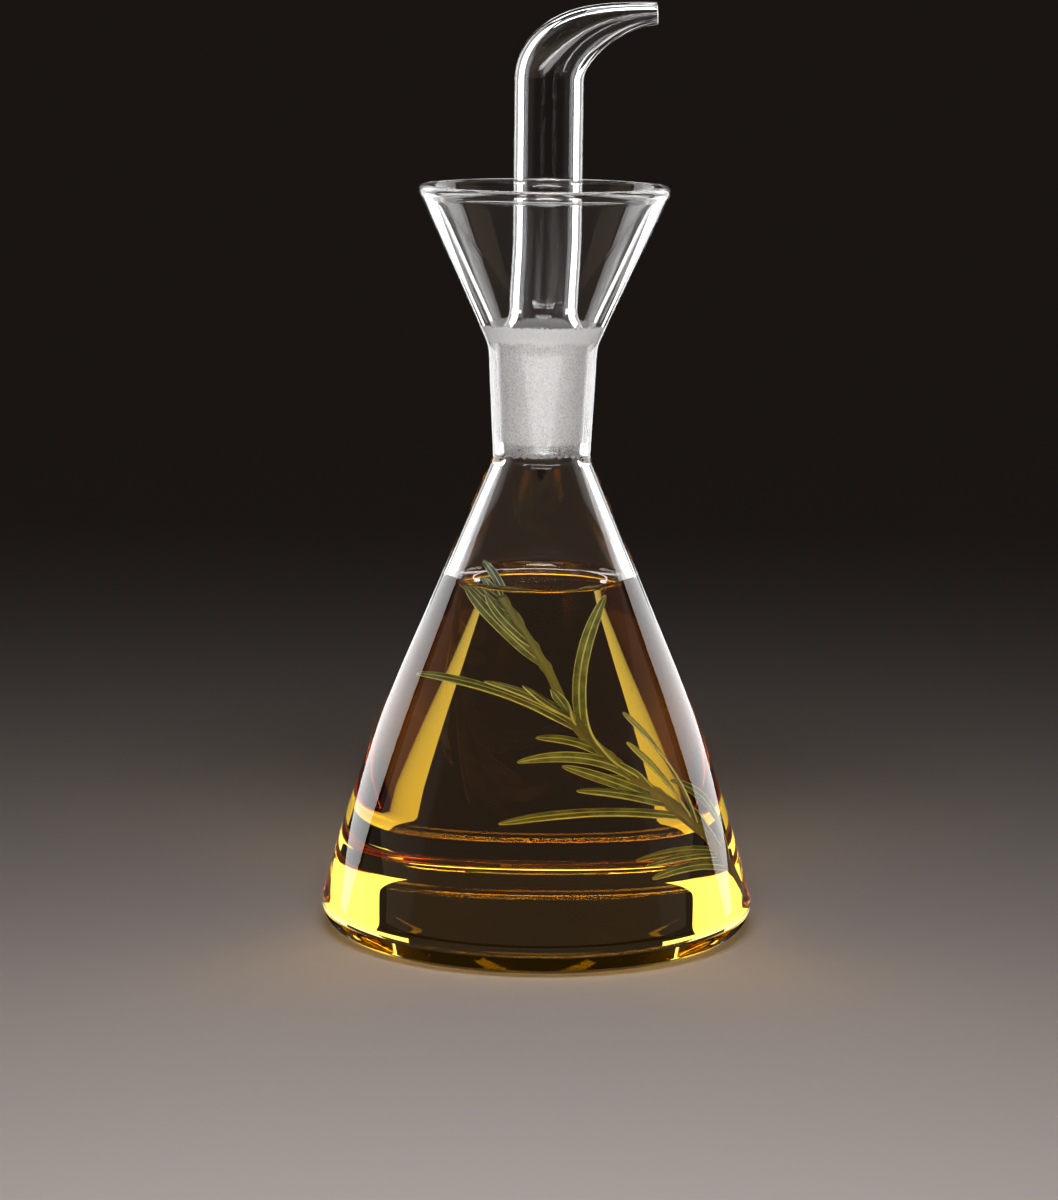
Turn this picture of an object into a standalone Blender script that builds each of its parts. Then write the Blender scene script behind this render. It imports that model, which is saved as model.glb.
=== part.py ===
"""An oil jug of clear glass, filled with golden oil and a sprig of rosemary.

The flask is one piece of glass: a flat base with a rounded heel, a cone that draws in to a narrow
neck, and a funnel above the neck whose rim catches drips. A separate glass spout stands in the neck
by a ground taper joint, rises through the funnel as a tube, and bends over to a fine nozzle. A groove
down one side of the joint lets the caught drips run back. The oil fills the cone up to a flat level,
and a sprig of rosemary leans in it, its topmost leaves just out of the oil.

Four objects: flask, spout, oil and rosemary. The origin is the centre of the base, +Z is up, and the
nozzle points to +X. Sizes are in millimetres and become metres where vertices are made.
"""
import math

import bmesh
import bpy
from mathutils import Matrix, Vector

MM = 0.001
CLEARANCE = 0.3        # room kept between two pieces that meet
FINE_WELD = 1e-7       # metres; joins only the points that a turned shape leaves on its axis
ARC_STEP = 24.0        # degrees of turn for each flat of a rounded corner
SHARP_EDGE = 40.0      # degrees; an edge that turns more than this is shown as a real corner

# The flask's outer side: where its straight stretches would meet, as radius and height, and how
# round each of those corners is.
HEEL = (46.4, 0.0, 5.8)
CONE_BEND = (36.1, 37.0, 360.0)
NECK_FOOT = (10.0, 98.2, 2.5)
NECK_TOP = (11.15, 120.9, 8.0)
LIP_ROOT = (24.7, 150.5, 2.0)
RIM = (26.7, 153.4, 1.2)
RIM_INNER_ROUND = 0.9
BASE_WALL = 2.6
CONE_WALL = 2.0
NECK_WALL = 1.65
FUNNEL_WALL = 2.2
FLASK_SIDES = 48

# The ground taper joint, a one in ten taper, and the hollow spout that grows out of it.
JOINT_BOTTOM = 101.6
JOINT_TOP = 123.6
JOINT_WALL = 1.6
JOINT_TOP_ROUND = 0.8
JOINT_INNER_ROUND = 3.0
SHOULDER_TOP = 127.2
SHOULDER_ROUND = 6.0
TUBE_RADIUS = 6.95
TUBE_BORE = 5.35
TUBE_SIDE_STEP = 0.6   # the tube stands this far off the joint's axis, towards the nozzle
SIDE_STEP_TOP = 144.2  # and has moved over by this height
BEND_START = 174.2
BEND_RISE = 13.7
BEND_REACH = 23.8
BEND_TURN = 84.0       # degrees
BEND_RINGS = 9
NOZZLE_RADIUS = 2.18
NOZZLE_BORE = 1.05
SPOUT_SIDES = 32
GROOVE_RADIUS = 0.9
GROOVE_SIDES = 10
GROOVE_OVERRUN = 2.0   # how far the groove's cutter runs past both ends of the joint

# The oil.
OIL_LEVEL = 72.0
OIL_SIDES = 48

# The rosemary's stem leans from the right foot of the cone to the left edge of the oil's surface.
STEM_ROUTE = ((37.1, 0.2, 4.8), (33.1, -0.3, 9.9), (25.4, -1.5, 19.4),
              (18.4, -2.2, 26.4), (10.8, -3.3, 34.4), (4.8, -4.6, 43.6),
              (1.7, -5.7, 52.5), (-3.1, -7.0, 63.2), (-6.6, -7.8, 69.6))
STEM_FOOT_RADIUS = 1.05
STEM_TIP_RADIUS = 0.6
STEM_SIDES = 6
STEM_RINGS = 16
CURVE_STEPS = 200      # straight steps in which a curve's length is measured

# A leaf's form. Its outline starts at a share of the full width, widens at once, and rounds off to a
# blunt tip over its last stretch; its section is a flat hexagon, thinner where the leaf is narrow.
LEAF_THICKNESS = 0.75
LEAF_RINGS = 5
LEAF_FOOT_WIDTH = 0.5
LEAF_WIDENING = 2.6
LEAF_TIP_START = 0.62
LEAF_TIP_STRETCH = 0.40
LEAF_THINNEST = 0.35
LEAF_FLAT_SHARE = 0.6
LEAF_WAVE = 8.0        # degrees by which its face rocks along it
LEAF_WAVE_RATE = 5.0
FRONT = Vector((0.0, -1.0, 0.0))

# Each leaf: how far up the stem it grows (mm), its tip from its foot (mm), how far its middle bows
# off the straight (mm), how far its face turns to the front (degrees) and its full width (mm).
LEAVES = (
    (7.4, (-14.8, -4.9, -0.4), -1.7, 60, 2.0),
    (8.2, (-12.6, 1.6, 17.4), -3.6, 60, 2.0),
    (9.0, (-8.8, 2.4, 11.0), 0.3, 35, 1.9),
    (10.9, (-14.2, -2.4, -1.2), -1.0, 30, 1.9),
    (11.6, (-16.2, 4.3, -2.3), -1.2, 25, 1.9),
    (19.0, (-11.4, -7.3, 26.0), -2.0, 40, 2.1),
    (20.4, (-10.4, -4.4, 18.0), -1.0, 35, 2.0),
    (21.7, (-29.1, -1.9, -0.6), -2.0, 40, 2.1),
    (22.8, (-13.6, 3.1, 7.4), -1.1, 40, 2.0),
    (24.8, (-17.5, -4.3, 10.0), -0.6, 80, 2.1),
    (25.7, (-14.5, -5.7, 4.7), -0.8, 50, 2.1),
    (29.4, (-21.1, -5.0, 7.7), -4.0, 70, 2.2),
    (32.8, (-6.5, -5.2, 9.6), 0.2, 50, 2.0),
    (34.0, (-11.0, 5.0, 3.0), -1.0, 30, 1.8),
    (38.5, (-4.0, -6.7, 13.8), 1.2, 40, 2.0),
    (40.5, (-10.7, 3.6, 2.8), -1.1, 30, 1.8),
    (46.6, (-27.3, 1.5, 11.6), -2.5, 35, 2.1),
    (46.9, (3.9, -0.7, 29.1), 2.1, 90, 2.2),
    (48.4, (-4.1, -7.2, 9.4), -0.5, 45, 1.9),
    (48.6, (-8.6, -6.2, 9.7), -0.2, 40, 1.9),
    (50.4, (-14.0, -5.1, 8.7), -1.0, 40, 2.0),
    (62.3, (-14.3, -1.2, 17.6), 0.2, 90, 2.3),
    (66.9, (-8.7, -3.5, 12.1), 0.4, 60, 2.0),
    (73.0, (-10.4, 2.2, 7.6), -0.8, 50, 1.9),
    (74.4, (-8.6, 1.4, 7.6), 0.5, 50, 1.8),
    (78.0, (-5.6, 0.5, 6.0), 0.4, 50, 1.7),
    (79.0, (-5.0, 0.8, 8.4), -0.4, 60, 1.7),
)


def clear_scene():
    """Removes whatever the file held, so that only the jug is in it."""
    for old in list(bpy.data.objects):
        bpy.data.objects.remove(old, do_unlink=True)


def glossy_material(name, colour, roughness, transmission=0.0):
    """A plain finish: one colour, one roughness, and how much light goes through."""
    material = bpy.data.materials.new(name)
    material.use_nodes = True
    shader = material.node_tree.nodes["Principled BSDF"]
    shader.inputs["Base Color"].default_value = (*colour, 1.0)
    shader.inputs["Roughness"].default_value = roughness
    shader.inputs["Metallic"].default_value = 0.0
    shader.inputs["Transmission Weight"].default_value = transmission
    shader.inputs["IOR"].default_value = 1.47
    return material


def add_object(name, mesh, material=None):
    """Turns a bmesh into an object, shaded smooth with sharp edges kept at real corners."""
    bmesh.ops.recalc_face_normals(mesh, faces=mesh.faces)
    data = bpy.data.meshes.new(name)
    mesh.to_mesh(data)
    mesh.free()
    data.shade_smooth()
    data.set_sharp_from_angle(angle=math.radians(SHARP_EDGE))
    if material:
        data.materials.append(material)
    made = bpy.data.objects.new(name, data)
    bpy.context.collection.objects.link(made)
    return made


def rounded(corners):
    """The path through corners given as (radius, height, roundness), each rounded by an arc."""
    path = [Vector(corners[0][:2])]
    for before, corner, after in zip(corners, corners[1:], corners[2:]):
        point = Vector(corner[:2])
        back = (Vector(before[:2]) - point).normalized()
        onward = (Vector(after[:2]) - point).normalized()
        half = back.angle(onward) / 2
        turn = math.pi - 2 * half
        centre = point + (back + onward).normalized() * corner[2] / math.sin(half)
        reach = corner[2] / math.tan(half)
        start = point + back * reach - centre
        flats = max(2, math.ceil(math.degrees(turn) / ARC_STEP))
        sense = 1 if back.x * onward.y - back.y * onward.x < 0 else -1
        for step in range(flats + 1):
            angle = sense * turn * step / flats
            cos, sin = math.cos(angle), math.sin(angle)
            path.append(centre + Vector((start.x * cos - start.y * sin, start.x * sin + start.y * cos)))
    path.append(Vector(corners[-1][:2]))
    return path


def crossing(point_a, way_a, point_b, way_b):
    """Where two straight lines of the outline meet."""
    across = way_a.x * way_b.y - way_a.y * way_b.x
    along = ((point_b.x - point_a.x) * way_b.y - (point_b.y - point_a.y) * way_b.x) / across
    return point_a + way_a * along


def inset(corners, walls):
    """The corners of the inner side: each straight stretch moves in by its own wall thickness."""
    lines = []
    for here, there, wall in zip(corners, corners[1:], walls):
        way = (Vector(there[:2]) - Vector(here[:2])).normalized()
        inward = Vector((-way.y, way.x))
        lines.append((Vector(here[:2]) + inward * wall, way))
    inner = []
    for corner, line, following in zip(corners[1:], lines, lines[1:]):
        met = crossing(*line, *following)
        inner.append((met.x, met.y, corner[2]))
    return lines[0][0], inner


def radius_at(path, height):
    """The radius of a path where it first passes a height."""
    for low, high in zip(path, path[1:]):
        if low.y <= height <= high.y and high.y > low.y:
            return low.x + (high.x - low.x) * (height - low.y) / (high.y - low.y)
    raise ValueError("the path doesn't reach this height")


def outer_corners():
    """The flask's outer corners from the centre of the base up to the root of the lip."""
    return [(0.0, 0.0, 0.0), HEEL, CONE_BEND, NECK_FOOT, NECK_TOP, LIP_ROOT]


def inner_corners(gap=0.0):
    """The flask's inner corners, from the centre of its floor up to the rim, moved in by a gap."""
    walls = [wall + gap for wall in (BASE_WALL, CONE_WALL, CONE_WALL, NECK_WALL, FUNNEL_WALL)]
    floor, (heel, bend, foot, top) = inset(outer_corners(), walls)
    funnel_way = (Vector(LIP_ROOT[:2]) - Vector(NECK_TOP[:2])).normalized()
    rise = (RIM[1] - top[1]) / funnel_way.y
    return [
        (0.0, floor.y, 0.0),
        (heel[0], heel[1], HEEL[2] - CONE_WALL),
        bend,
        (foot[0], foot[1], NECK_FOOT[2] + NECK_WALL),
        (top[0], top[1], NECK_TOP[2] + NECK_WALL),
        (top[0] + funnel_way.x * rise, RIM[1], RIM_INNER_ROUND),
    ]


def turned(outline, sides):
    """Spins an outline, given as (radius, height) in millimetres, about the upright axis."""
    mesh = bmesh.new()
    points = [mesh.verts.new((point[0] * MM, 0.0, point[1] * MM)) for point in outline]
    edges = [mesh.edges.new(pair) for pair in zip(points, points[1:])]
    bmesh.ops.spin(mesh, geom=points + edges, cent=(0, 0, 0), axis=(0, 0, 1),
                   angle=math.tau, steps=sides, use_merge=True)
    bmesh.ops.remove_doubles(mesh, verts=mesh.verts, dist=FINE_WELD)
    return mesh


def skin(mesh, rings, closed):
    """Joins rings of points into one surface; a closed one runs round to its first ring."""
    made = [[mesh.verts.new(Vector(point) * MM) for point in ring] for ring in rings]
    pairs = list(zip(made, made[1:]))
    if closed:
        pairs.append((made[-1], made[0]))
    count = len(made[0])
    for low, high in pairs:
        for side in range(count):
            following = (side + 1) % count
            a, b, c, d = low[side], low[following], high[following], high[side]
            if side < count / 2:
                mesh.faces.new((a, b, c))
                mesh.faces.new((a, c, d))
            else:
                mesh.faces.new((a, b, d))
                mesh.faces.new((b, c, d))
    if not closed:
        mesh.faces.new(reversed(made[0]))
        mesh.faces.new(made[-1])


def make_flask(material):
    """Base, cone, neck and funnel in one: up the outside, over the rim and down the inside."""
    loop = outer_corners() + [RIM] + list(reversed(inner_corners()))
    return add_object("flask", turned(rounded(loop), FLASK_SIDES), material)


def neck_bore():
    """The neck's inner wall as a line: the joint's radius at a height."""
    _, _, _, foot, top, _ = inner_corners()
    slope = (top[0] - foot[0]) / (top[1] - foot[1])
    return lambda height: foot[0] + slope * (height - foot[1])


def side_step(height):
    """How far the tube has moved off the joint's axis at a height, in an easy S."""
    share = min(max((height - SHOULDER_TOP) / (SIDE_STEP_TOP - SHOULDER_TOP), 0.0), 1.0)
    return TUBE_SIDE_STEP * share * share * (3 - 2 * share)


def level_ring(radius, height):
    """One level ring of the spout below its bend."""
    middle = side_step(height)
    turns = [math.tau * side / SPOUT_SIDES for side in range(SPOUT_SIDES)]
    return [(middle + radius * math.cos(turn), radius * math.sin(turn), height) for turn in turns]


def bend_ring(share, radius, tip_radius):
    """One ring of the bend, a quarter of an ellipse along which the tube draws in to the nozzle."""
    angle = math.radians(BEND_TURN) * share
    over = TUBE_SIDE_STEP + BEND_REACH * (1 - math.cos(angle))
    middle = Vector((over, 0.0, BEND_START + BEND_RISE * math.sin(angle)))
    along = Vector((BEND_REACH * math.sin(angle), 0.0, BEND_RISE * math.cos(angle))).normalized()
    across = Vector((along.z, 0.0, -along.x))
    back = Vector((0.0, 1.0, 0.0))
    here = radius - (radius - tip_radius) * math.sin(angle) ** 3
    turns = [math.tau * side / SPOUT_SIDES for side in range(SPOUT_SIDES)]
    return [middle + (across * math.cos(turn) + back * math.sin(turn)) * here for turn in turns]


def make_spout(material):
    """The hollow spout: ground taper, shoulder, tube, bend and nozzle, open at both ends."""
    bore = neck_bore()
    outside = rounded([
        (bore(JOINT_BOTTOM) - CLEARANCE, JOINT_BOTTOM, 0.0),
        (bore(JOINT_TOP) - CLEARANCE, JOINT_TOP, JOINT_TOP_ROUND),
        (TUBE_RADIUS, SHOULDER_TOP, SHOULDER_ROUND),
        (TUBE_RADIUS, SIDE_STEP_TOP, 0.0),
    ])
    inside = rounded([
        (bore(JOINT_BOTTOM) - CLEARANCE - JOINT_WALL, JOINT_BOTTOM, 0.0),
        (bore(JOINT_TOP) - CLEARANCE - JOINT_WALL, JOINT_TOP - JOINT_WALL, JOINT_INNER_ROUND),
        (TUBE_BORE, SHOULDER_TOP, SHOULDER_ROUND),
        (TUBE_BORE, SIDE_STEP_TOP, 0.0),
    ])
    shares = [step / BEND_RINGS for step in range(BEND_RINGS + 1)]
    rings = [level_ring(*point) for point in outside]
    rings += [bend_ring(share, TUBE_RADIUS, NOZZLE_RADIUS) for share in shares]
    rings += [bend_ring(share, TUBE_BORE, NOZZLE_BORE) for share in reversed(shares)]
    rings += [level_ring(*point) for point in reversed(inside)]
    mesh = bmesh.new()
    skin(mesh, rings, closed=True)
    spout = add_object("spout", mesh, material)

    groove = bmesh.new()
    foot = Vector((-bore(JOINT_BOTTOM), 0.0, JOINT_BOTTOM - GROOVE_OVERRUN)) * MM
    head = Vector((-bore(JOINT_TOP), 0.0, JOINT_TOP + GROOVE_OVERRUN)) * MM
    tilt = (head - foot).to_track_quat("Z", "Y").to_matrix().to_4x4()
    bmesh.ops.create_cone(groove, cap_ends=True, segments=GROOVE_SIDES, radius1=GROOVE_RADIUS * MM,
                          radius2=GROOVE_RADIUS * MM, depth=(head - foot).length,
                          matrix=Matrix.Translation((head + foot) / 2) @ tilt)
    cutter = add_object("drip_groove_cutter", groove)
    cut(spout, cutter)
    return spout


def cut(target, cutter):
    """Takes the cutter's form out of the target; the cutter itself isn't part of the jug."""
    cutter.hide_render = True
    cutter.display_type = "WIRE"
    boolean = target.modifiers.new("cut", "BOOLEAN")
    boolean.operation = "DIFFERENCE"
    boolean.solver = "EXACT"
    boolean.object = cutter


def curve_through(points, share):
    """A smooth curve through points (Catmull-Rom), read at a share of its length from 0 to 1."""
    spans = len(points) - 1
    place = min(max(share, 0.0), 1.0) * spans
    index = min(int(place), spans - 1)
    t = place - index
    near = [Vector(points[min(max(index + step, 0), spans)]) for step in (-1, 0, 1, 2)]
    before, start, end, after = near
    return 0.5 * (2 * start + (end - before) * t + (2 * before - 5 * start + 4 * end - after) * t * t
                  + (3 * start - before - 3 * end + after) * t * t * t)


def stem_place(distance):
    """The point of the stem a distance in millimetres up from its foot, and its way there."""
    samples = [curve_through(STEM_ROUTE, step / CURVE_STEPS) for step in range(CURVE_STEPS + 1)]
    walked = 0.0
    for here, there in zip(samples, samples[1:]):
        stretch = (there - here).length
        if walked + stretch >= distance:
            return here.lerp(there, (distance - walked) / stretch), (there - here).normalized()
        walked += stretch
    return samples[-1], (samples[-1] - samples[-2]).normalized()


def stem_length():
    """The length of the stem in millimetres."""
    samples = [curve_through(STEM_ROUTE, step / CURVE_STEPS) for step in range(CURVE_STEPS + 1)]
    return sum((there - here).length for here, there in zip(samples, samples[1:]))


def across_frame(along, hint):
    """Two directions square to a line, the second as near to the hint as it can be."""
    side = along.cross(hint).normalized()
    return side, side.cross(along).normalized()


def stem_mesh(grow):
    """The stem, a slim tube that thins towards its tip."""
    length = stem_length()
    rings = []
    for step in range(STEM_RINGS + 1):
        share = step / STEM_RINGS
        middle, along = stem_place(length * share)
        side, up = across_frame(along, FRONT)
        radius = STEM_FOOT_RADIUS + (STEM_TIP_RADIUS - STEM_FOOT_RADIUS) * share + grow
        if step in (0, STEM_RINGS):
            middle = middle + along * (grow if step else -grow)
        turns = [math.tau * corner / STEM_SIDES for corner in range(STEM_SIDES)]
        rings.append([middle + (side * math.cos(turn) + up * math.sin(turn)) * radius for turn in turns])
    mesh = bmesh.new()
    skin(mesh, rings, closed=False)
    return mesh


def leaf_width(share):
    """A needle leaf's width along its length: a narrow foot, full soon after, a blunt tip."""
    foot = min(1.0, LEAF_FOOT_WIDTH + LEAF_WIDENING * share)
    tip = math.sqrt(max(0.0, 1 - max(0.0, (share - LEAF_TIP_START) / LEAF_TIP_STRETCH) ** 2))
    return foot * tip


def leaf_mesh(station, reach, bow, turn, width, grow):
    """One leaf: a slim wavy blade with rounded edges that leaves the stem and bows to its tip."""
    foot, stem_way = stem_place(station)
    reach = Vector(reach)
    sideways = Vector((-reach.z, 0.0, reach.x)).normalized()
    knee = foot + reach / 2 + sideways * 2 * bow
    tip = foot + reach
    rings = []
    for step in range(LEAF_RINGS + 1):
        share = step / LEAF_RINGS
        middle = foot * (1 - share) ** 2 + knee * 2 * share * (1 - share) + tip * share ** 2
        along = ((knee - foot) * (1 - share) + (tip - knee) * share).normalized()
        side, upper = across_frame(along, stem_way)
        face = math.radians(turn + LEAF_WAVE * math.sin(LEAF_WAVE_RATE * share + station))
        front = (FRONT - along * along.dot(FRONT)).normalized()
        _, facing = across_frame(along, upper * math.cos(face) + front * math.sin(face))
        side = facing.cross(along)
        if step == LEAF_RINGS:
            middle = middle + along * grow
        half = width / 2 * leaf_width(share) + grow
        fullness = LEAF_THINNEST + (1 - LEAF_THINNEST) * leaf_width(share)
        thick = LEAF_THICKNESS / 2 * fullness + grow
        flat = LEAF_FLAT_SHARE
        section = ((1, 0), (flat, 1), (-flat, 1), (-1, 0), (-flat, -1), (flat, -1))
        rings.append([middle + side * half * x + facing * thick * y for x, y in section])
    mesh = bmesh.new()
    skin(mesh, rings, closed=False)
    return mesh


def make_sprig(name, grow, material=None):
    """The stem and its leaves fused into one solid; grow makes the fatter form that the oil leaves."""
    sprig = add_object(name, stem_mesh(grow), material)
    leaves = bpy.data.collections.new(name + "_leaves")
    bpy.context.scene.collection.children.link(leaves)
    for number, leaf in enumerate(LEAVES):
        piece = add_object(f"{name}_leaf_{number}", leaf_mesh(*leaf, grow), material)
        bpy.context.collection.objects.unlink(piece)
        leaves.objects.link(piece)
    boolean = sprig.modifiers.new("fuse", "BOOLEAN")
    boolean.operation = "UNION"
    boolean.operand_type = "COLLECTION"
    boolean.collection = leaves
    boolean.solver = "EXACT"
    evaluated = sprig.evaluated_get(bpy.context.evaluated_depsgraph_get())
    fused = bpy.data.meshes.new_from_object(evaluated)
    sprig.modifiers.clear()
    sprig.data = fused
    for piece in list(leaves.objects):
        bpy.data.objects.remove(piece, do_unlink=True)
    bpy.data.collections.remove(leaves)
    return sprig


def make_oil(material):
    """The oil up to its level, a little clear of the glass, with room left for the sprig."""
    wall = rounded(inner_corners(gap=CLEARANCE))
    sunk = [point for point in wall if point.y < OIL_LEVEL]
    surface = [Vector((radius_at(wall, OIL_LEVEL), OIL_LEVEL)), Vector((0.0, OIL_LEVEL))]
    oil = add_object("oil", turned(sunk + surface, OIL_SIDES), material)
    cut(oil, make_sprig("rosemary_room", CLEARANCE))
    return oil


def build():
    clear_scene()
    glass = glossy_material("clear_glass", (0.96, 0.98, 0.97), 0.02, transmission=1.0)
    golden = glossy_material("golden_oil", (0.86, 0.66, 0.08), 0.02, transmission=0.9)
    leaf_green = glossy_material("rosemary_green", (0.16, 0.20, 0.06), 0.5)
    make_flask(glass)
    make_spout(glass)
    make_oil(golden)
    make_sprig("rosemary", 0.0, leaf_green)


build()
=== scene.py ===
# %% [markdown]
# # Dressing a glass oil jug
# The packed model already has the right sizes, but its walls are faceted and its colours are flat. A
# thing of glass, oil and leaves lives by what light does inside it, so each piece is made again here
# as a fine, smooth mesh in the same place, with a real material. The frame is loaded first, and
# nothing in it is moved.

# %% Load the frame
import math

import bmesh
import bpy
from mathutils import Matrix, Vector


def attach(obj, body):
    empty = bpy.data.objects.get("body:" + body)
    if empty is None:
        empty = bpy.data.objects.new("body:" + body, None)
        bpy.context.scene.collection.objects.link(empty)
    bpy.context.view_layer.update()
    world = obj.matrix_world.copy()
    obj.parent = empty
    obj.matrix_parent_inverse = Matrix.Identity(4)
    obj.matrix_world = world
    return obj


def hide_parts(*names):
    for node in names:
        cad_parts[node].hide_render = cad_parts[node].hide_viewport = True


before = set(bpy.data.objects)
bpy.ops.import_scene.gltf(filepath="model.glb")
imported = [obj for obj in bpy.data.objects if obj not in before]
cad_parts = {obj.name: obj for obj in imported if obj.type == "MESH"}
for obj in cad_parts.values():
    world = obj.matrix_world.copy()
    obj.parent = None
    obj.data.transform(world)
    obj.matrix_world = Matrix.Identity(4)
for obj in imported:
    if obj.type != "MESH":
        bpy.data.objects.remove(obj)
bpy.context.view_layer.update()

MM = 0.001
print("nodes:", sorted(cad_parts))

# %% [markdown]
# ## Where the camera stands
# The ellipses of the rim, of the oil and of the foot give the camera away: the higher an ellipse sits
# in the picture, the flatter it is, and the rate at which they open tells how far off and how high the
# eye was. It looked down by a little under ten degrees through a long lens, and it wasn't held quite
# level. Turning the camera by those few angles is the plain way. A tracking constraint would aim it,
# but it couldn't lean it.

# %% Make the camera
EYE = Vector((0.0, -750.0, 195.57))
PITCH_DOWN = 9.62       # degrees
YAW_LEFT = 0.17
LEAN = 0.68
SENSOR = 36.0
PICTURE_HEIGHT = 1200   # pixels
FOCAL_PIXELS = 3700


def make_camera():
    lens = bpy.data.cameras.new("camera")
    lens.sensor_fit = "VERTICAL"
    lens.sensor_height = SENSOR
    lens.lens = SENSOR * FOCAL_PIXELS / PICTURE_HEIGHT
    made = bpy.data.objects.new("camera", lens)
    bpy.context.scene.collection.objects.link(made)
    aim = Matrix.Rotation(math.radians(YAW_LEFT), 4, "Z")
    tip = Matrix.Rotation(math.radians(90 - PITCH_DOWN), 4, "X")
    lean = Matrix.Rotation(math.radians(LEAN), 4, "Z")
    made.matrix_world = Matrix.Translation(EYE * MM) @ aim @ tip @ lean
    bpy.context.scene.camera = made
    print("lens, mm:", round(lens.lens, 1))


make_camera()

# %% [markdown]
# ## A small language for materials
# Every finish below is a sum of a few ideas, such as a mask times a colour. Drawn as nodes, such a sum
# is hard to follow, so a small class lets Python's own signs add the nodes: one minus a mask is
# written just so. Colours go through a Mix node, because a Math node would turn them grey. Every other
# node comes from one method, which sets the node's choices before its sockets, since some choices
# change which sockets there are.

# %% A socket that Python can reckon with


class Wire:
    """An output of a shader node. Arithmetic on it adds Math nodes to the same tree."""

    def __init__(self, tree, socket=None):
        self.tree = tree
        self.socket = socket

    def node(self, kind, settings=None, sockets=None, output=0):
        """Adds a node: its settings first, then the values or links of its sockets."""
        made = self.tree.nodes.new("ShaderNode" + kind)
        for name, value in (settings or {}).items():
            setattr(made, name, value)
        for name, value in (sockets or {}).items():
            if isinstance(value, Wire):
                self.tree.links.new(value.socket, made.inputs[name])
            else:
                made.inputs[name].default_value = value
        return Wire(self.tree, made.outputs[output])

    def maths(self, operation, *values):
        return self.node("Math", {"operation": operation}, dict(enumerate(values)))

    def kept(self, name):
        """A number that is kept on the points of the mesh."""
        return self.node("Attribute", {"attribute_name": name}, {}, "Fac")

    def noise(self, place, scale, detail):
        return self.node("TexNoise", {}, {"Vector": place, "Scale": scale, "Detail": detail}, "Fac")

    def __add__(self, other):
        return self.maths("ADD", self, other)

    def __sub__(self, other):
        return self.maths("SUBTRACT", self, other)

    def __rsub__(self, other):
        return self.maths("SUBTRACT", other, self)

    def __mul__(self, other):
        return self.maths("MULTIPLY", self, other)

    __radd__ = __add__
    __rmul__ = __mul__

    def __abs__(self):
        return self.maths("ABSOLUTE", self)

    def rise(self, low, high):
        """A mask that climbs smoothly from 0 at low to 1 at high."""
        ends = {"Value": self, "From Min": low, "From Max": high}
        return self.node("MapRange", {"interpolation_type": "SMOOTHSTEP"}, ends)

    def between(self, low_colour, high_colour):
        """The colour that this mask picks between two."""
        return self.node("Mix", {"data_type": "RGBA"}, {0: self, 6: low_colour, 7: high_colour}, 2)


print("a wire can:", ", ".join(name for name in vars(Wire) if not name.startswith("_")))

# %% Start and end a material


def new_material(name):
    """An empty material and the wire that starts its tree."""
    made = bpy.data.materials.new(name)
    made.use_nodes = True
    made.node_tree.nodes.clear()
    return made, Wire(made.node_tree)


def finish_material(start, surface, volume=None):
    """Ends a tree in its output node."""
    inputs = {"Surface": surface}
    if volume:
        inputs["Volume"] = volume
    made = start.tree.nodes.new("ShaderNodeOutputMaterial")
    for name, wire in inputs.items():
        start.tree.links.new(wire.socket, made.inputs[name])


def plain_material(name, colour, roughness, metallic=0.0):
    """A material for the stage around the jug."""
    made, start = new_material(name)
    sockets = {"Base Color": colour, "Roughness": roughness, "Metallic": metallic}
    finish_material(start, start.node("BsdfPrincipled", {}, sockets))
    return made


print("materials so far:", len(bpy.data.materials))

# %% [markdown]
# ## The outline of the glass
# The jug was blown and turned, so half of its section tells the whole form. Only the corners where its
# straight stretches would meet are given, each with how round it is. The inner side is the same
# outline moved in by the wall. It could be drawn as a curve by hand, but then the wall would never be
# even.

# %% The corners, in millimetres
HEEL = (46.4, 0.0, 5.8)
CONE_BEND = (36.1, 37.0, 360.0)
NECK_FOOT = (10.0, 98.2, 2.5)
NECK_TOP = (11.15, 120.9, 8.0)
LIP_ROOT = (24.7, 150.5, 2.0)
RIM = (26.7, 153.4, 1.2)
RIM_INNER_ROUND = 0.9
BASE_WALL = 2.6
CONE_WALL = 2.0
NECK_WALL = 1.65
FUNNEL_WALL = 2.2
ARC_STEP = 6.0          # degrees of turn between the points of a rounded corner
POINT_STEP = 0.9        # millimetres between the points of a straight stretch
LEAST_FLATS = 3         # to a rounded corner
OUTER_CORNERS = [(0.0, 0.0, 0.0), HEEL, CONE_BEND, NECK_FOOT, NECK_TOP, LIP_ROOT]
print("height to the rim, mm:", RIM[1])

# %% Round the corners


def rounded(corners):
    """The path through corners given as (radius, height, roundness), each rounded by an arc."""
    path = [Vector(corners[0][:2])]
    for before, corner, after in zip(corners, corners[1:], corners[2:]):
        point = Vector(corner[:2])
        back = (Vector(before[:2]) - point).normalized()
        onward = (Vector(after[:2]) - point).normalized()
        half = back.angle(onward) / 2
        turn = math.pi - 2 * half
        centre = point + (back + onward).normalized() * corner[2] / math.sin(half)
        reach = corner[2] / math.tan(half)
        start = point + back * reach - centre
        by_angle = math.ceil(math.degrees(turn) / ARC_STEP)
        by_length = math.ceil(turn * corner[2] / POINT_STEP)
        flats = max(LEAST_FLATS, by_angle, by_length)
        sense = 1 if back.x * onward.y - back.y * onward.x < 0 else -1
        for step in range(flats + 1):
            angle = sense * turn * step / flats
            path.append(centre + Matrix.Rotation(angle, 2) @ start)
    path.append(Vector(corners[-1][:2]))
    return filled_in(path)


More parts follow.
